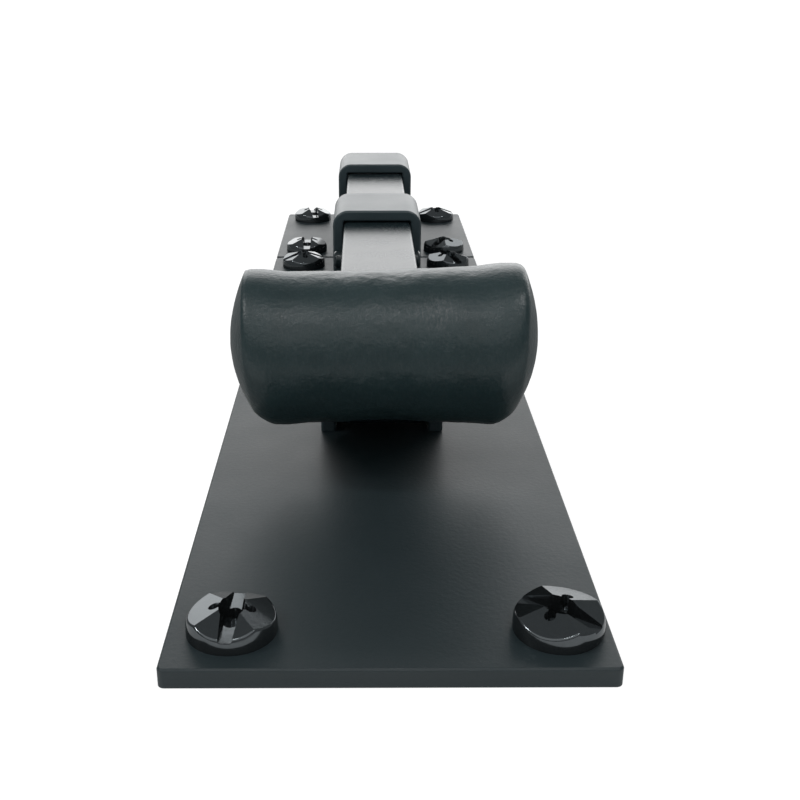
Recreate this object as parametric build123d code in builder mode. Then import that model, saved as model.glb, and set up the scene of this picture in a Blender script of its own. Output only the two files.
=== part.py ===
from build123d import *
import math
import os

# A surface bolt latch: a square bar slides in two strap guides on a long plate,
# and its far end enters a third guide on a separate keeper plate.
# Sizes are in millimetres. +Y runs along the bolt from the grip to the keeper,
# +Z points away from the door and +X to the right, seen from the grip.
# The origin lies on the back of the bolt plate, at the middle of its four screws.

os.makedirs("parts", exist_ok=True)

# Plates
plate_width = 64.6
plate_thickness = 3.1
plate_corner = 1.0
plate_edge = 0.3
bolt_plate_length = 222.8
keeper_plate_length = 64.3
plate_gap = 1.1

# Square bar
bar_width = 18.6
bar_height = 19.6
bar_lift = 1.7
bar_edge = 0.8
bar_past_keeper = 7.0
tip_chamfer = 2.2

# Guides, bent from flat strap
strap_thickness = 3.0
strap_width = 25.4
bar_side_clearance = 0.2
bar_top_clearance = 0.4
guide_outer_bend = 4.4
guide_inner_bend = 0.5
guide_edge = 0.4
tenon_width = 18.0
tenon_clearance = 0.1
front_guide_from_edge = 81.3
rear_guide_from_far_edge = 18.2
keeper_guide_from_edge = 29.8

# Barrel grip
grip_end_radius = 14.6
grip_waist_radius = 13.6
grip_bulge_x = 19.5
grip_rim_x = 24.6
grip_underside_rise = 2.6
grip_dome_height = 3.4
grip_rim_round = 1.8
grip_above_plate = 24.3
grip_behind_gap = 1.5
neck_guide_gap = 0.6
neck_bend = 6.0
joint_gap = 0.2
grip_tenon_radius = 5.0
grip_tenon_length = 9.0
grip_tenon_below_top = 0.6

# Stop pin
pin_radius = 2.5
pin_overhang = 2.8
pin_stop_gap = 0.5
pin_fit = 0.05
pin_chamfer = 0.5

# Screws, all alike
screw_side_inset = 9.45
plate_screw_inset = 9.8
keeper_screw_inset = 8.75
screw_length = 25.4
shank_radius = 2.4
collar_radius = 2.7
shank_plain_length = 9.0
core_radius = 1.75
point_length = 6.0
hole_clearance = 0.3
head_radius = 6.7
head_rim_height = 2.2
head_rise = 2.3
head_flat = 0.4
slot_width = 2.1
slot_floor = 2.0
cross_length = 5.8
cross_width = 1.4
recess_width = 2.6
recess_floor = 1.2
# How far each slot is turned from the X axis, in degrees
slot_turns = {
    "plate_screw_front_left": 83.0,
    "plate_screw_front_right": -35.0,
    "plate_screw_rear_left": 12.0,
    "plate_screw_rear_right": -62.0,
    "keeper_screw_front_left": 88.0,
    "keeper_screw_front_right": 48.0,
    "keeper_screw_rear_left": 97.0,
    "keeper_screw_rear_right": 5.0,
}

# Places that follow from the sizes above
plate_top = plate_thickness
front_edge_y = -bolt_plate_length / 2
far_edge_y = bolt_plate_length / 2
keeper_front_y = far_edge_y + plate_gap
keeper_y = keeper_front_y + keeper_plate_length / 2
front_guide_y = front_edge_y + front_guide_from_edge
rear_guide_y = far_edge_y - rear_guide_from_far_edge - strap_width
keeper_guide_y = keeper_front_y + keeper_guide_from_edge
bar_bottom = plate_top + bar_lift
bar_top = bar_bottom + bar_height
bar_middle = (bar_bottom + bar_top) / 2
bar_tip_y = keeper_guide_y + strap_width + bar_past_keeper
opening_width = bar_width + 2 * bar_side_clearance
opening_top = bar_top + bar_top_clearance
guide_width = opening_width + 2 * strap_thickness
guide_top = opening_top + strap_thickness
leg_x = (opening_width + strap_thickness) / 2
grip_z = plate_top + grip_above_plate
grip_y = front_guide_y - grip_behind_gap - grip_end_radius
pin_y = rear_guide_y - pin_stop_gap - pin_radius
screw_x = plate_width / 2 - screw_side_inset
plate_screw_y = bolt_plate_length / 2 - plate_screw_inset
keeper_screw_y = keeper_plate_length / 2 - keeper_screw_inset


def make_plate(centre_y, length, screw_y, guide_fronts):
    """A flat plate with a hole at each corner and two slots under each guide."""
    slot_size = (strap_thickness + 2 * tenon_clearance, tenon_width + 2 * tenon_clearance)
    with BuildPart() as plate:
        with BuildSketch(Plane.XY):
            with Locations((0, centre_y)):
                RectangleRounded(plate_width, length, plate_corner)
        extrude(amount=plate_thickness)
        chamfer(plate.faces().sort_by(Axis.Z)[-1].edges(), plate_edge)
        with BuildSketch(Plane.XY):
            with Locations((0, centre_y)):
                with GridLocations(2 * screw_x, 2 * screw_y, 2, 2):
                    Circle(collar_radius + hole_clearance)
            for front_y in guide_fronts:
                with Locations((-leg_x, front_y + strap_width / 2), (leg_x, front_y + strap_width / 2)):
                    Rectangle(*slot_size)
        extrude(amount=plate_thickness, mode=Mode.SUBTRACT)
    return plate


def make_guide(front_y):
    """A strap bent over the bar, its shoulders on the plate and a tenon on each leg through it."""
    rear_face = Plane(origin=(0, front_y + strap_width, 0), x_dir=(1, 0, 0), z_dir=(0, -1, 0))
    with BuildPart() as guide:
        with BuildSketch(rear_face) as hoop:
            with Locations((0, plate_top)):
                Rectangle(guide_width, guide_top - plate_top, align=(Align.CENTER, Align.MIN))
            fillet(hoop.vertices().group_by(Axis.Y)[-1], guide_outer_bend)
            with BuildSketch(mode=Mode.SUBTRACT) as opening:
                with Locations((0, plate_top)):
                    Rectangle(
                        opening_width, opening_top - plate_top, align=(Align.CENTER, Align.MIN)
                    )
                fillet(opening.vertices().group_by(Axis.Y)[-1], guide_inner_bend)
        extrude(amount=strap_width)
        flanks = guide.faces().filter_by(Axis.Y)
        rims = flanks.edges().filter_by(lambda e: e.center().Z > plate_top + guide_edge)
        chamfer(rims, guide_edge)
        with BuildSketch(Plane.XY):
            with Locations((-leg_x, front_y + strap_width / 2), (leg_x, front_y + strap_width / 2)):
                Rectangle(strap_thickness, tenon_width)
        extrude(amount=plate_top)
    return guide


def make_screw(x, y, slot_turn):
    """A wood screw: round head with four flat facets, a full slot, short cross arms and a recess."""
    facet_slope = head_rise / head_radius
    foot_half = head_radius + head_rim_height / facet_slope
    apex_z = plate_top + head_rim_height + head_rise - head_flat * facet_slope
    seat = Plane(origin=(x, y, plate_top), x_dir=Vector(1, 0, 0).rotate(Axis.Z, slot_turn))
    with BuildPart() as screw:
        with BuildSketch(seat):
            Circle(head_radius)
        extrude(amount=head_rim_height + head_rise)
        with BuildSketch(seat):
            Rectangle(2 * foot_half, 2 * foot_half)
        with BuildSketch(seat.offset(apex_z - plate_top)):
            Rectangle(2 * head_flat, 2 * head_flat)
        loft(mode=Mode.INTERSECT)
        with BuildSketch(seat.offset(slot_floor)):
            Rectangle(2 * head_radius, slot_width)
            Rectangle(cross_width, cross_length)
        extrude(amount=head_rise + head_rim_height, mode=Mode.SUBTRACT)
        with BuildSketch(seat.offset(recess_floor)):
            Rectangle(recess_width, recess_width)
        extrude(amount=head_rise + head_rim_height, mode=Mode.SUBTRACT)
        with BuildSketch(Plane(origin=(x, y, plate_top), x_dir=(1, 0, 0), z_dir=(0, -1, 0))):
            with BuildLine():
                Polyline(
                    (0, 0),
                    (collar_radius, 0),
                    (collar_radius, -plate_thickness),
                    (shank_radius, -plate_thickness),
                    (shank_radius, -shank_plain_length),
                    (core_radius, -shank_plain_length - (shank_radius - core_radius)),
                    (core_radius, -screw_length + point_length),
                    (0, -screw_length),
                    close=True,
                )
            make_face()
        revolve(axis=Axis((x, y, 0), (0, 0, 1)))
    return screw


# Bolt plate and keeper plate
bolt_plate = make_plate(0, bolt_plate_length, plate_screw_y, (front_guide_y, rear_guide_y))
keeper_plate = make_plate(keeper_y, keeper_plate_length, keeper_screw_y, (keeper_guide_y,))

# The three guides
front_guide = make_guide(front_guide_y)
rear_guide = make_guide(rear_guide_y)
keeper_guide = make_guide(keeper_guide_y)


def grip_section(x):
    """The height of a section's centre over the grip's axis, and its radius."""
    inside = min(abs(x) / grip_bulge_x, 1)
    outside = max(abs(x) - grip_bulge_x, 0) / (grip_rim_x - grip_bulge_x)
    swell = (1 - math.cos(math.pi * inside)) / 2
    radius = grip_waist_radius + (grip_end_radius - grip_waist_radius) * swell
    lift = grip_underside_rise / 2 * outside**2
    return lift, radius - lift


# Barrel grip: round sections along X, thicker at the bulges than at the waist. Past the bulges
# the underside rises while the top stays level, and then each end closes in a dome.
rim_lift, rim_radius = grip_section(grip_rim_x)
rim_z = grip_z + rim_lift
tenon_z = bar_top - grip_tenon_below_top - grip_tenon_radius
tenon_end_y = grip_y + grip_waist_radius - grip_tenon_length
with BuildPart() as handle:
    for x in (-grip_rim_x, -grip_bulge_x, -grip_bulge_x / 2, 0, grip_bulge_x / 2, grip_bulge_x, grip_rim_x):
        lift, radius = grip_section(x)
        with BuildSketch(Plane.YZ.offset(x)):
            with Locations((grip_y, grip_z + lift)):
                Circle(radius)
    loft()
    for side in (-1, 1):
        with BuildSketch(Plane((0, grip_y, rim_z), x_dir=(side, 0, 0), z_dir=(0, -side, 0))):
            with BuildLine():
                Line((grip_rim_x, 0), (grip_rim_x, rim_radius))
                SagittaArc(
                    (grip_rim_x, rim_radius), (grip_rim_x, -rim_radius), grip_dome_height
                )
                Line((grip_rim_x, -rim_radius), (grip_rim_x, 0))
            make_face()
            split(bisect_by=Plane.XZ)
        revolve(axis=Axis((0, grip_y, rim_z), (1, 0, 0)))
    rims = handle.edges().filter_by(lambda e: abs(abs(e.center().X) - grip_rim_x) < 0.01)
    fillet(rims, grip_rim_round)
    with BuildSketch(Plane.XZ.offset(-(tenon_end_y - joint_gap))):
        with Locations((0, tenon_z)):
            Circle(grip_tenon_radius + joint_gap / 2)
    extrude(amount=-grip_end_radius, mode=Mode.SUBTRACT)

# Square bar: its near end sweeps up in front of the guide, is hollowed to fit the grip's
# round back, and has a tenon into it. Its far end is chamfered to find the keeper.
neck_y = front_guide_y - neck_guide_gap
with BuildPart() as bolt_bar:
    with BuildSketch(Plane.YZ) as side_view:
        with BuildLine():
            Polyline(
                (grip_y, bar_top),
                (bar_tip_y, bar_top),
                (bar_tip_y, bar_bottom),
                (neck_y, bar_bottom),
                (grip_y, bar_bottom + neck_y - grip_y),
                close=True,
            )
        make_face()
        neck_corner = side_view.vertices().sort_by_distance((neck_y, bar_bottom))[0]
        fillet(neck_corner, neck_bend)
    extrude(amount=bar_width / 2, both=True)
    chamfer(bolt_bar.faces().sort_by(Axis.Y)[-1].edges(), tip_chamfer)
    long_edges = bolt_bar.edges().filter_by(Axis.Y)
    fillet(long_edges.filter_by(lambda e: e.length > strap_width), bar_edge)
    with BuildSketch(Plane.YZ):
        with Locations((grip_y, grip_z)):
            Circle(grip_section(bar_width / 2)[1] + joint_gap)
    extrude(amount=bar_width, both=True, mode=Mode.SUBTRACT)
    with BuildSketch(Plane.XZ.offset(-tenon_end_y)):
        with Locations((0, tenon_z)):
            Circle(grip_tenon_radius)
    extrude(amount=-grip_tenon_length)
    with BuildSketch(Plane.YZ):
        with Locations((pin_y, bar_middle)):
            Circle(pin_radius + pin_fit)
    extrude(amount=bar_width, both=True, mode=Mode.SUBTRACT)

# Stop pin, through the bar in front of the rear guide
with BuildPart() as stop_pin:
    with BuildSketch(Plane.YZ):
        with Locations((pin_y, bar_middle)):
            Circle(pin_radius)
    extrude(amount=bar_width / 2 + pin_overhang, both=True)
    chamfer(stop_pin.faces().filter_by(Axis.X).edges(), pin_chamfer)

# Screws, four in each plate
pieces = {
    "bolt_plate": bolt_plate,
    "keeper_plate": keeper_plate,
    "front_guide": front_guide,
    "rear_guide": rear_guide,
    "keeper_guide": keeper_guide,
    "handle": handle,
    "bolt_bar": bolt_bar,
    "stop_pin": stop_pin,
}
for name, turn in slot_turns.items():
    x = -screw_x if name.endswith("left") else screw_x
    row = -1 if "front" in name else 1
    y = row * plate_screw_y if name.startswith("plate") else keeper_y + row * keeper_screw_y
    pieces[name] = make_screw(x, y, turn)

for name, piece in pieces.items():
    piece.part.label = name
    export_step(piece.part, f"parts/{name}.step")

travel = pin_y - pin_radius - (front_guide_y + strap_width) - pin_stop_gap
print(f"the bar travels {travel:.2f} mm from closed to open")
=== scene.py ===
import math

import bmesh
import bpy
from mathutils import Euler, Matrix, Vector, noise


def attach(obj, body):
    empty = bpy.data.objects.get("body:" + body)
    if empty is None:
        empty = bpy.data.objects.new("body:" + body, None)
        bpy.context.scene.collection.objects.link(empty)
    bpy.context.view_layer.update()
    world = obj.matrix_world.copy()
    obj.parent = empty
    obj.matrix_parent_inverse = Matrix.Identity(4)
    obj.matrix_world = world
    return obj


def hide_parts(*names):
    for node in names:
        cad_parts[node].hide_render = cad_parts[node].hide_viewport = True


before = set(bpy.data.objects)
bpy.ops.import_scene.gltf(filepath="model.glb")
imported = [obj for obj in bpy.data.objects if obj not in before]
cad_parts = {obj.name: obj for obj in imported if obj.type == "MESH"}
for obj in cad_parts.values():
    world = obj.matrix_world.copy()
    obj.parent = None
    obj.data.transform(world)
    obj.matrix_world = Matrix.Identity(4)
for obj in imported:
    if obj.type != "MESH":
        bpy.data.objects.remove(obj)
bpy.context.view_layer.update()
mm = 0.001
hardEdge = math.radians(30)  # edges sharper than this are eased
print("frame loaded")


class Wire:  # an output socket, so that shader maths on it reads as an expression
    def __init__(self, tree, socket):
        self.tree = tree
        self.socket = socket

    def math(self, operation, first, second):
        made = self.tree.nodes.new("ShaderNodeMath")
        made.operation = operation
        plug(self.tree, made.inputs[0], first)
        plug(self.tree, made.inputs[1], second)
        return Wire(self.tree, made.outputs[0])

    def __add__(self, other):
        return self.math("ADD", self, other)

    def __sub__(self, other):
        return self.math("SUBTRACT", self, other)

    def __mul__(self, other):
        return self.math("MULTIPLY", self, other)

    def __rsub__(self, other):
        return self.math("SUBTRACT", other, self)

    __radd__ = __add__
    __rmul__ = __mul__


def plug(tree, socket, value):
    if isinstance(value, Wire):
        tree.links.new(value.socket, socket)
    else:
        socket.default_value = value


class Finish:  # the node tree of a material or of the world, being built
    def __init__(self, owner):
        owner.use_nodes = True
        self.owner = owner
        self.tree = owner.node_tree
        self.tree.nodes.clear()

    def node(self, kind, settings=None, inputs=None, output=0):
        made = self.tree.nodes.new("ShaderNode" + kind)
        for name, value in (settings or {}).items():
            setattr(made, name, value)
        for name, value in (inputs or {}).items():
            plug(self.tree, made.inputs[name], value)
        return Wire(self.tree, made.outputs[output]) if made.outputs else None

    def noise(self, place, size, detail=2.0, roughness=0.5):  # size in millimetres
        return self.node("TexNoise", inputs={
            "Vector": place, "Scale": 1 / (size * mm), "Detail": detail, "Roughness": roughness})

    def mixColor(self, factor, first, second):
        return self.node("Mix", {"data_type": "RGBA"}, {0: factor, 6: first, 7: second}, output=2)

    def ramp(self, value, low, high):  # 0 below low, 1 above high, smooth between
        return self.node("MapRange", {"interpolation_type": "SMOOTHSTEP"}, {
            "Value": value, "From Min": low, "From Max": high})


# Coatings: the sizes of their patterns and the heights of their relief in millimetres
coats = {
    "plateBlack": dict(color=(0.0115, 0.0200, 0.0230), lift=1.35, rough=0.47, roughSwing=0.14,
                       blotch=16, wave=6.0, waveHeight=0.016, peel=0.8, peelHeight=0.026,
                       grain=0.25, grainHeight=0.0080),
    # The guides' black is lighter than that of the plates and bar: painted light, which brightens
    # the guides' dim front faces
    "guideBlack": dict(color=(0.0270, 0.0420, 0.0480), lift=1.3, rough=0.36, roughSwing=0.10,
                       blotch=12, wave=5.0, waveHeight=0.014, peel=0.9, peelHeight=0.008,
                       grain=0.25, grainHeight=0.0015),
    "barBlack": dict(color=(0.0120, 0.0205, 0.0235), lift=1.3, rough=0.26, roughSwing=0.08,
                     blotch=14, wave=6.0, waveHeight=0.010, peel=0.9, peelHeight=0.005,
                     grain=0.25, grainHeight=0.0010),
    "gripBlack": dict(color=(0.0100, 0.0230, 0.0250), lift=1.7, rough=0.35, roughSwing=0.20,
                      blotch=8, wave=3.0, waveHeight=0.045, peel=0.7, peelHeight=0.080,
                      grain=0.22, grainHeight=0.0180),
}
# A painted highlight on the grip: a paler patch in slanted strokes, with fainter strokes over the
# rest of it. core is the share of the radius that is painted fully.
gripHighlight = {"centre": (9.0, -56.2, 37.0), "radius": 5.5, "core": 0.1, "color": (0.085, 0.095, 0.098),
       "amount": 0.85, "elsewhere": 0.2,
       "stroke": 0.45, "slant": 0.6, "stretch": (1.0, 0.5, 0.3), "strokeEdge": (0.4, 0.85)}
# The screws' bright black plating
plating = {"color": (0.090, 0.099, 0.104), "lift": 1.25, "blotch": 0.6, "metal": 0.92,
           "edge": 0.85, "rough": 0.09, "roughSwing": 0.06, "peel": 1.2, "peelHeight": 0.006}


def blackCoat(name, coat):
    finish = Finish(bpy.data.materials.new(name))
    place = finish.node("TexCoord", output="Object")
    blotch = finish.noise(place, coat["blotch"], 5.0, 0.6)
    wave = finish.noise(place, coat["wave"])
    peel = finish.noise(place, coat["peel"])
    grain = finish.noise(place, coat["grain"], 2.0, 0.6)
    pale = tuple(channel * coat["lift"] for channel in coat["color"])
    color = finish.mixColor(blotch, (*coat["color"], 1), (*pale, 1))
    # Painted highlight: paler slanted strokes mixed into the grip's colour, strongest in a patch on
    # its upper front
    if name == "gripBlack":
        fromCentre = finish.node("VectorMath", {"operation": "DISTANCE"}, {
            0: place, 1: [side * mm for side in gripHighlight["centre"]]}, output="Value")
        reach = gripHighlight["radius"] * mm
        near = 1 - finish.ramp(fromCentre, gripHighlight["core"] * reach, reach)
        slanted = finish.node("Mapping", inputs={
            "Vector": place, "Rotation": (0.0, gripHighlight["slant"], 0.0), "Scale": gripHighlight["stretch"]})
        strokes = finish.ramp(finish.noise(slanted, gripHighlight["stroke"], 5.0, 0.7), *gripHighlight["strokeEdge"])
        highlightShare = strokes * (near * gripHighlight["amount"] + gripHighlight["elsewhere"])
        color = finish.mixColor(highlightShare, color, (*gripHighlight["color"], 1))
    swing = coat["roughSwing"]
    rough = coat["rough"] + (blotch - 0.5) * swing + (grain - 0.5) * swing
    height = wave * (coat["waveHeight"] * mm) + peel * (coat["peelHeight"] * mm)
    height = height + grain * (coat["grainHeight"] * mm)
    bump = finish.node("Bump", inputs={"Height": height, "Distance": 1.0, "Strength": 1.0})
    shader = finish.node("BsdfPrincipled", inputs={
        "Base Color": color, "Roughness": rough, "Normal": bump})
    finish.node("OutputMaterial", inputs={"Surface": shader})
    return finish.owner


def blackPlating(name):
    finish = Finish(bpy.data.materials.new(name))
    place = finish.node("TexCoord", output="Object")
    peel = finish.noise(place, plating["peel"])
    blotch = finish.noise(place, plating["blotch"], 4.0, 0.6)
    bright = tuple(channel * plating["lift"] for channel in plating["color"])
    color = finish.mixColor(blotch, (*plating["color"], 1), (*bright, 1))
    rough = plating["rough"] + blotch * plating["roughSwing"]
    bump = finish.node("Bump", inputs={
        "Height": peel * (plating["peelHeight"] * mm), "Distance": 1.0, "Strength": 1.0})
    shader = finish.node("BsdfPrincipled", inputs={
        "Base Color": color, "Roughness": rough, "Metallic": plating["metal"],
        "Specular Tint": (plating["edge"],) * 3 + (1,), "Normal": bump})
    finish.node("OutputMaterial", inputs={"Surface": shader})
    return finish.owner


materials = {name: blackCoat(name, coat) for name, coat in coats.items()}
materials["screwBlack"] = blackPlating("screwBlack")
print("finishes made")

# Every CAD node: its body, its slot in the record and its finish
moving = ("bolt_bar", "handle", "stop_pin")
looks = {"bolt_plate": ("plate_black", "plateBlack"), "keeper_plate": ("plate_black", "plateBlack"),
         "front_guide": ("guide_black", "guideBlack"), "rear_guide": ("guide_black", "guideBlack"),
         "keeper_guide": ("guide_black", "guideBlack"), "bolt_bar": ("bar_black", "barBlack"),
         "stop_pin": ("bar_black", "barBlack"), "handle": ("grip_black", "gripBlack")}
for name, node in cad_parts.items():
    node.data.materials.clear()
    node.data.materials.append(materials[looks.get(name, ("screw_black", "screwBlack"))[1]])


def standIn(name, data):  # a finished mesh takes the place of a CAD node
    slotName, finishName = looks.get(name, ("screw_black", "screwBlack"))
    piece = bpy.data.objects.new(name + "_look", data)
    bpy.context.scene.collection.objects.link(piece)
    data.materials.clear()
    data.materials.append(materials[finishName])
    data.shade_smooth()
    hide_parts(name)
    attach(piece, "bolt" if name in moving else "mount_body")
    return piece


# Plates, guides and bar: the CAD shapes with their hard edges eased, width in millimetres
easedEdges = {"bolt_plate": 0.22, "keeper_plate": 0.22, "front_guide": 0.25, "rear_guide": 0.25,
              "keeper_guide": 0.25, "bolt_bar": 0.3, "stop_pin": 0.15}


def eased(name, width):
    shape = bmesh.new()
    shape.from_mesh(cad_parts[name].data)
    bmesh.ops.remove_doubles(shape, verts=shape.verts, dist=0.002 * mm)
    bmesh.ops.dissolve_limit(shape, angle_limit=math.radians(0.5), verts=shape.verts,
                             edges=shape.edges)
    data = bpy.data.meshes.new(name + "_look")
    shape.to_mesh(data)
    shape.free()
    if "custom_normal" in data.attributes:
        data.attributes.remove(data.attributes["custom_normal"])
    piece = standIn(name, data)
    bevel = piece.modifiers.new("easedEdges", "BEVEL")
    bevel.width = width * mm
    bevel.segments = 3
    bevel.limit_method = "ANGLE"
    bevel.angle_limit = hardEdge
    bevel.harden_normals = True


for name, width in easedEdges.items():
    eased(name, width)
print("plates, guides and bar eased")

# Barrel grip: the CAD barrel with a forged, slightly uneven surface and a thicker right end.
# The top and bottom lines give the height from the axis at places along it, in millimetres.
grip = {"axisY": -46.2, "axisZ": 27.1, "domeEnd": 28.0, "domeBelow": 22.7, "domeAbove": 34.0,
        "cornerBelow": 1.6, "cornerAbove": {False: 0.6, True: 1.5},  # left and right end
        "top": ((-28.0, 14.4), (-23.0, 14.4), (-17.0, 13.9), (-6.0, 13.9), (0.0, 14.1),
                (8.0, 14.45), (15.0, 14.8), (22.0, 15.5), (28.0, 15.5)),
        "bottom": ((-28.0, 11.6), (-25.0, 12.0), (-19.5, 14.2), (-10.0, 13.7), (0.0, 13.3),
                   (10.0, 13.7), (19.5, 14.2), (25.0, 12.0), (28.0, 11.6)),
        "radius": 14.0, "rings": 150, "sides": 168,
        "dent": 6.0, "dentDepth": 0.16, "ripple": 1.5, "rippleDepth": 0.075, "endShare": 0.35,
        "seed": 3.7}


def along(line, x):  # smooth height of a line of (place, height) pairs
    for (x0, h0), (x1, h1) in zip(line, line[1:]):
        if x <= x1:
            part = min(max((x - x0) / (x1 - x0), 0), 1)
            return h0 + (h1 - h0) * part * part * (3 - 2 * part)
    return line[-1][1]


def smoothMin(a, b, width):
    share = min(max(0.5 + (b - a) / (2 * width), 0), 1)
    return b + (a - b) * share - width * share * (1 - share)


def forgedGrip():
    shape = bmesh.new()
    bmesh.ops.create_uvsphere(shape, u_segments=grip["sides"], v_segments=grip["rings"], radius=1)
    for vert in shape.verts:
        swing = vert.co.z  # the sphere's pole becomes the barrel's end
        spread = math.hypot(vert.co.x, vert.co.y)
        upper = 0.5 + 0.5 * vert.co.y / max(spread, 1e-6)
        domeRadius = 1 / ((1 - upper) / grip["domeBelow"] + upper / grip["domeAbove"])
        domeCentre = grip["domeEnd"] - domeRadius
        reachBarrel = grip["radius"] / max(spread, 1e-6)
        reachDome = domeCentre * abs(swing) + math.sqrt(
            domeRadius ** 2 - (domeCentre * spread) ** 2)
        corner = (1 - upper) * grip["cornerBelow"] + upper * grip["cornerAbove"][swing > 0]
        reach = smoothMin(reachBarrel, reachDome, corner)
        x = swing * reach
        top, bottom = along(grip["top"], x), along(grip["bottom"], x)
        radius = spread * reach * (top + bottom) / 2 / grip["radius"]
        lift = (top - bottom) / 2
        turn = math.atan2(vert.co.y, vert.co.x)
        spot = Vector((x, radius * math.cos(turn), radius * math.sin(turn) + lift))
        outward = Vector((grip["endShare"] * swing, math.cos(turn) * spread,
                          math.sin(turn) * spread))
        shift = grip["dentDepth"] * noise.noise(spot / grip["dent"] + Vector((grip["seed"], 0, 0)))
        shift += grip["rippleDepth"] * noise.noise(spot / grip["ripple"])
        spot += outward * shift
        vert.co = Vector((spot.x, spot.y + grip["axisY"], spot.z + grip["axisZ"])) * mm
    bmesh.ops.recalc_face_normals(shape, faces=shape.faces)
    data = bpy.data.meshes.new("handle_look")
    shape.to_mesh(data)
    shape.free()
    return data


standIn("handle", forgedGrip())
print("grip forged")

# Screws, in millimetres from the underside of the head, with a facet towards each axis. slotSkew
# gives the degrees from facets to slot, for a screw that stands straight and for a leaning one.
screw = {"headRadius": 6.7, "rim": 2.25, "rise": 2.45, "flat": 0.35, "headSides": 96,
         "side": ((6.7, 0), (6.69, 0.6), (6.66, 1.2), (6.6, 1.75), (6.2, 3.3), (4.6, 4.2),
                  (0, 5.2)),
         "shoulder": 0.25, "facetFrom": 0.9, "sideUpTo": 0.8,  # as the height part of a normal
         "slotFloor": 2.0, "slotBase": 1.9, "slotTop": 3.4, "slotSkew": (3.0, -8.0),
         "slotAside": -0.2,
         "armReach": 2.7, "armBase": 1.0, "armWidth": 1.5, "armEnd": 1.2, "armFloor": 1.7,
         "recessFloor": 0.35, "recessBase": 1.35, "recessTop": 2.15, "recessStretch": 1.65,
         "ease": 0.10, "sharp": 25,
         "collar": (2.7, 3.1), "shank": (2.4, 9.0), "taper": 0.7, "core": 1.75, "length": 25.4,
         "point": 6.0, "shankSides": 40,
         "pitch": 2.1, "threadHalf": 0.45, "threadRoot": 0.1, "threadFrom": 0.6, "threadShort": 1.6,
         "stepsPerTurn": 28}
# Where each stands and how far its slot is turned from the X axis, in degrees
screwPlaces = {
    "plate_screw_front_left": (-22.85, -101.6, 86), "plate_screw_front_right": (22.85, -101.6, -37),
    "plate_screw_rear_left": (-22.85, 101.6, 15), "plate_screw_rear_right": (22.85, 101.6, -59),
    "keeper_screw_front_left": (-22.85, 121.25, 91),
    "keeper_screw_front_right": (22.85, 121.25, 51),
    "keeper_screw_rear_left": (-22.85, 168.05, 100), "keeper_screw_rear_right": (22.85, 168.05, 8),
}
# As in the photo, one screw was driven askew: its shift to the right and up, then the degrees by
# which it is tipped about X and about Y. Above 0, these raise its back and lower its right side.
leaning = {"plate_screw_front_right": (1.8, 0.35, 3.5, -2.5)}
plateTop = 3.1


def shortLived(name, shape):  # a helper object for a Boolean, taken away again afterwards
    data = bpy.data.meshes.new(name)
    shape.to_mesh(data)
    shape.free()
    made = bpy.data.objects.new(name, data)
    bpy.context.scene.collection.objects.link(made)
    return made


def wedge(name, length, widthBase, widthTop, low, high):  # a straight cutter along X
    shape = bmesh.new()
    bmesh.ops.create_cube(shape, size=1)
    for vert in shape.verts:
        wide, z = (widthTop, high) if vert.co.z > 0 else (widthBase, low)
        vert.co = Vector((vert.co.x * length, vert.co.y * wide, z))
    return shortLived(name, shape)


def turned(shape, outline, steps):  # an outline of (radius, height) pairs, turned about the axis
    verts = [shape.verts.new((radius, 0, z)) for radius, z in outline]
    edges = [shape.edges.new(pair) for pair in zip(verts, verts[1:])]
    bmesh.ops.spin(shape, geom=verts + edges, cent=(0, 0, 0), axis=(0, 0, 1), angle=2 * math.pi,
                   steps=steps, use_merge=True)


def facetedHead():
    radius, rim, rise = screw["headRadius"], screw["rim"], screw["rise"]
    shape = bmesh.new()
    turned(shape, ((0, 0), *screw["side"]), screw["headSides"])
    bmesh.ops.remove_doubles(shape, verts=shape.verts, dist=0.001)
    cuts = [(Vector((math.cos(turn) * radius, math.sin(turn) * radius, rim)),
             Vector((math.cos(turn) * rise, math.sin(turn) * rise, radius)))
            for turn in (0, math.pi / 2, math.pi, 1.5 * math.pi)]
    cuts.append((Vector((0, 0, rim + rise * (1 - screw["flat"] / radius))), Vector((0, 0, 1))))
    for spot, normal in cuts:
        cut = bmesh.ops.bisect_plane(shape, geom=shape.verts[:] + shape.edges[:] + shape.faces[:],
                                     plane_co=spot, plane_no=normal, clear_outer=True)
        bmesh.ops.contextual_create(
            shape, geom=[part for part in cut["geom_cut"] if isinstance(part, bmesh.types.BMEdge)])
    bmesh.ops.remove_doubles(shape, verts=shape.verts, dist=0.01)
    bmesh.ops.recalc_face_normals(shape, faces=shape.faces)
    corner = [edge for edge in shape.edges if len(edge.link_faces) == 2
              and min(face.normal.z for face in edge.link_faces) < screw["sideUpTo"]
              and max(face.normal.z for face in edge.link_faces) > screw["facetFrom"]]
    bmesh.ops.bevel(shape, geom=corner, offset=screw["shoulder"], offset_type="OFFSET",
                    segments=5, profile=0.5, affect="EDGES", material=-1, clamp_overlap=True)
    return shortLived("head", shape)


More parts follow.
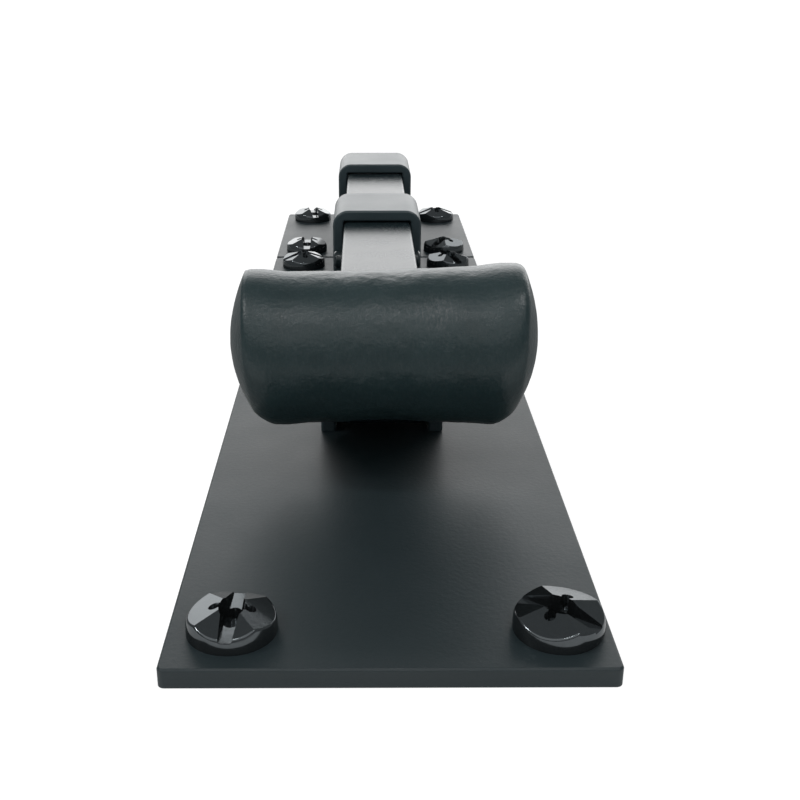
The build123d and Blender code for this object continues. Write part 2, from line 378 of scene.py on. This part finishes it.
def screwHead(slotTurn):
    high = screw["rim"] + screw["rise"] + 1
    head = facetedHead()
    slot = wedge("slot", 4 * screw["headRadius"], screw["slotBase"], screw["slotTop"],
                 screw["slotFloor"], high)
    arms = wedge("arms", 2 * screw["armReach"], screw["armBase"], screw["armWidth"],
                 screw["armFloor"], high)
    recess = bmesh.new()
    bmesh.ops.create_cone(recess, cap_ends=True, segments=32, radius1=screw["recessBase"],
                          radius2=screw["recessTop"], depth=high - screw["recessFloor"],
                          matrix=Matrix.Translation((0, 0, (high + screw["recessFloor"]) / 2)))
    bmesh.ops.scale(recess, vec=(screw["recessStretch"], 1, 1), verts=recess.verts)
    armEnds = bmesh.new()
    for x in (-screw["armReach"], screw["armReach"]):
        middle = Matrix.Translation((x, 0, (high + screw["armFloor"]) / 2))
        bmesh.ops.create_cone(armEnds, cap_ends=True, segments=24, radius1=screw["armBase"] / 2,
                              radius2=screw["armEnd"], depth=high - screw["armFloor"],
                              matrix=middle)
    ends = shortLived("armEnds", armEnds)
    cutters = [slot, arms, ends, shortLived("recess", recess)]
    for cutter in cutters:
        turn = slotTurn + (90 if cutter in (arms, ends) else 0)
        cutter.rotation_euler = (0, 0, math.radians(turn))
        cutter.location.y = screw["slotAside"]
        cutting = head.modifiers.new(cutter.name, "BOOLEAN")
        cutting.operation = "DIFFERENCE"
        cutting.solver = "EXACT"
        cutting.object = cutter
    ease = head.modifiers.new("ease", "BEVEL")
    ease.width = screw["ease"]
    ease.segments = 3
    ease.limit_method = "ANGLE"
    ease.angle_limit = hardEdge
    bpy.context.view_layer.update()
    data = bpy.data.meshes.new_from_object(
        head.evaluated_get(bpy.context.evaluated_depsgraph_get()))
    for helper in cutters + [head]:
        bpy.data.meshes.remove(helper.data)  # which takes the object too
    return data


def screwShank(shape):  # collar, plain shank, core and point, turned about the axis
    collarRadius, collarLength = screw["collar"]
    shankRadius, shankLength = screw["shank"]
    coreRadius, length = screw["core"], screw["length"]
    inHead = 0.05  # the collar's top lies just inside the head
    outline = [(0, inHead), (collarRadius, inHead), (collarRadius, -collarLength),
               (shankRadius, -collarLength), (shankRadius, -shankLength),
               (coreRadius, -shankLength - screw["taper"]),
               (coreRadius, -length + screw["point"]), (0, -length)]
    turned(shape, outline, screw["shankSides"])
    bmesh.ops.remove_doubles(shape, verts=shape.verts, dist=0.001)
    # the thread runs down to the point, where it shrinks with the core
    start = -shankLength - screw["threadFrom"]
    turns = (length - shankLength - screw["threadShort"]) / screw["pitch"]
    half = screw["threadHalf"]
    root = coreRadius - screw["threadRoot"]
    ring = [shape.verts.new((root, 0, start + half)), shape.verts.new((shankRadius, 0, start)),
            shape.verts.new((root, 0, start - half))]
    sides = [shape.edges.new(pair) for pair in zip(ring, ring[1:] + ring[:1])]
    steps = int(turns * screw["stepsPerTurn"])
    before = set(shape.verts) - set(ring)
    wound = bmesh.ops.spin(shape, geom=ring + sides, cent=(0, 0, 0), axis=(0, 0, 1),
                           dvec=(0, 0, -turns * screw["pitch"] / steps), angle=turns * 2 * math.pi,
                           steps=steps)
    lastRing = [part for part in wound["geom_last"] if isinstance(part, bmesh.types.BMVert)]
    for end in (ring, lastRing):
        bmesh.ops.contextual_create(shape, geom=end)
    for vert in set(shape.verts) - before:
        fromTip = (vert.co.z + length) / screw["point"]
        shrink = min(max(fromTip, 0.05), 1)
        begin = min(max((start - vert.co.z) / screw["pitch"] + 0.3, 0), 1)  # grows over a turn
        radius = math.hypot(vert.co.x, vert.co.y)
        wanted = (root + (radius - root) * begin) * shrink
        vert.co.x *= wanted / radius
        vert.co.y *= wanted / radius


def wholeScrew(slotTurn):
    lower = bmesh.new()
    screwShank(lower)
    bmesh.ops.recalc_face_normals(lower, faces=lower.faces)
    shank = bpy.data.meshes.new("shank")
    lower.to_mesh(shank)
    lower.free()
    shape = bmesh.new()
    for part in (screwHead(slotTurn), shank):
        shape.from_mesh(part)
        bpy.data.meshes.remove(part)
    return shape


for name, (x, y, turn) in screwPlaces.items():
    data = bpy.data.meshes.new(name + "_look")
    aside, up, tipX, tipY = leaning.get(name, (0, 0, 0, 0))
    slotTurn = screw["slotSkew"][name in leaning]
    screwShape = wholeScrew(slotTurn)
    screwShape.to_mesh(data)
    screwShape.free()
    place = Matrix.Translation(((x + aside) * mm, y * mm, (plateTop + up) * mm))
    tilt = Euler((math.radians(tipX), math.radians(tipY), 0)).to_matrix().to_4x4()
    spin = Matrix.Rotation(math.radians(turn - slotTurn), 4, "Z")
    data.transform(place @ tilt @ spin @ Matrix.Scale(mm, 4))
    piece = standIn(name, data)
    data.set_sharp_from_angle(angle=math.radians(screw["sharp"]))
    flatter = piece.modifiers.new("flatFacets", "WEIGHTED_NORMAL")
    flatter.keep_sharp = True
print("screws set")

# Camera, solved from the plate's edges: it stands just left of the bolt and looks down along it
cameraSet = {"place": (-3.41, -236.5, 93.51), "pitch": 22.0, "yaw": 0.26,
             "focalPixels": 1092.5, "centreX": 369.9, "picture": 800}
eye = bpy.data.cameras.new("eye")
eye.sensor_width = 36
eye.lens = cameraSet["focalPixels"] / cameraSet["picture"] * eye.sensor_width
eye.shift_x = (cameraSet["picture"] / 2 - cameraSet["centreX"]) / cameraSet["picture"]
eye.clip_start = 0.01
camera = bpy.data.objects.new("camera", eye)
camera.location = Vector(cameraSet["place"]) * mm
camera.rotation_euler = Euler((math.radians(90 - cameraSet["pitch"]), 0,
                               -math.radians(cameraSet["yaw"])))
bpy.context.scene.collection.objects.link(camera)
bpy.context.scene.camera = camera
bpy.context.scene.view_settings.view_transform = "Standard"
print("camera placed")

# Floor: stands for the door's face and hides the screw shanks, as a door would. Its size is in
# metres. The bright strips before and behind the object are given by where they begin and end.
floorSet = {"size": 2.4, "drop": 0.15, "shade": 0.8, "bright": 1.0, "dull": 0.38,
            "front": (-200, -150, -100, -72), "back": (180, 300), "glow": 0.78,
            "glowLevel": 1.2}
floorMesh = bmesh.new()
bmesh.ops.create_grid(floorMesh, x_segments=1, y_segments=1, size=floorSet["size"] / 2,
                      matrix=Matrix.Translation((0, 0, -floorSet["drop"] * mm)))
floorData = bpy.data.meshes.new("floor")
floorMesh.to_mesh(floorData)
floorMesh.free()
floor = bpy.data.objects.new("floor", floorData)
bpy.context.scene.collection.objects.link(floor)


def paleFloor():  # white to the camera; to the object dull, and brighter before and behind it
    finish = Finish(bpy.data.materials.new("paleFloor"))
    ray = finish.node("LightPath", output="Is Camera Ray")
    place = finish.node("TexCoord", output="Object")
    depth = finish.node("SeparateXYZ", inputs={"Vector": place}, output="Y")
    start, full, ebb, end = (side * mm for side in floorSet["front"])
    lit = finish.ramp(depth, start, full) - finish.ramp(depth, ebb, end)
    lit = lit + finish.ramp(depth, *(side * mm for side in floorSet["back"]))
    bright, dull, shade = ((floorSet[key],) * 3 + (1,) for key in ("bright", "dull", "shade"))
    tone = finish.mixColor(ray, finish.mixColor(lit, dull, bright), shade)
    paper = finish.node("BsdfDiffuse", inputs={"Color": tone})
    white = finish.node("Emission", inputs={"Color": (1, 1, 1, 1),
                                            "Strength": floorSet["glowLevel"]})
    mixed = finish.node("MixShader", inputs={0: ray * floorSet["glow"], 1: paper, 2: white})
    finish.node("OutputMaterial", inputs={"Surface": mixed})
    return finish.owner


floorData.materials.append(paleFloor())

# World: white to the camera, a dim room to the object
worldSet = {"roomColor": (0.94, 1.0, 1.02, 1), "roomLevel": 0.24, "whiteLevel": 1.15}
world = bpy.data.worlds.new("studio")
bpy.context.scene.world = world
sky = Finish(world)
ray = sky.node("LightPath", output="Is Camera Ray")
room = sky.node("Background", inputs={
    "Color": worldSet["roomColor"], "Strength": worldSet["roomLevel"]})
white = sky.node("Background", inputs={
    "Color": (1, 1, 1, 1), "Strength": worldSet["whiteLevel"]})
sky.node("OutputWorld", inputs={
    "Surface": sky.node("MixShader", inputs={0: ray, 1: room, 2: white})})

# Soft boxes: place, aim and size in millimetres, and how bright they look
boxes = {
    "backBox": dict(place=(300, 1250, 430), aim=(300, 0, 20), size=(2120, 860), level=1.65),
    "topBox": dict(place=(-60, -450, 600), aim=(0, -46, 27), size=(1300, 900), level=0.52),
    "topSpark": dict(place=(-60, -420, 900), aim=(0, -60, 10), size=(160, 24), level=27),
    "leftSpark": dict(place=(-480, -130, 540), aim=(0, -100, 5), size=(45, 75), level=50),
    "rightSpark": dict(place=(400, -160, 700), aim=(0, -100, 5), size=(45, 75), level=44),
}
for name, box in boxes.items():
    lamp = bpy.data.lights.new(name, "AREA")
    lamp.shape = "RECTANGLE"
    lamp.size, lamp.size_y = (side * mm for side in box["size"])
    lamp.energy = 4 * lamp.size * lamp.size_y * box["level"]
    holder = bpy.data.objects.new(name, lamp)
    holder.location = Vector(box["place"]) * mm
    aim = (Vector(box["aim"]) - Vector(box["place"])).to_track_quat("-Z", "Y")
    holder.rotation_euler = aim.to_euler()
    holder.visible_camera = False
    bpy.context.scene.collection.objects.link(holder)
print("stage lit")
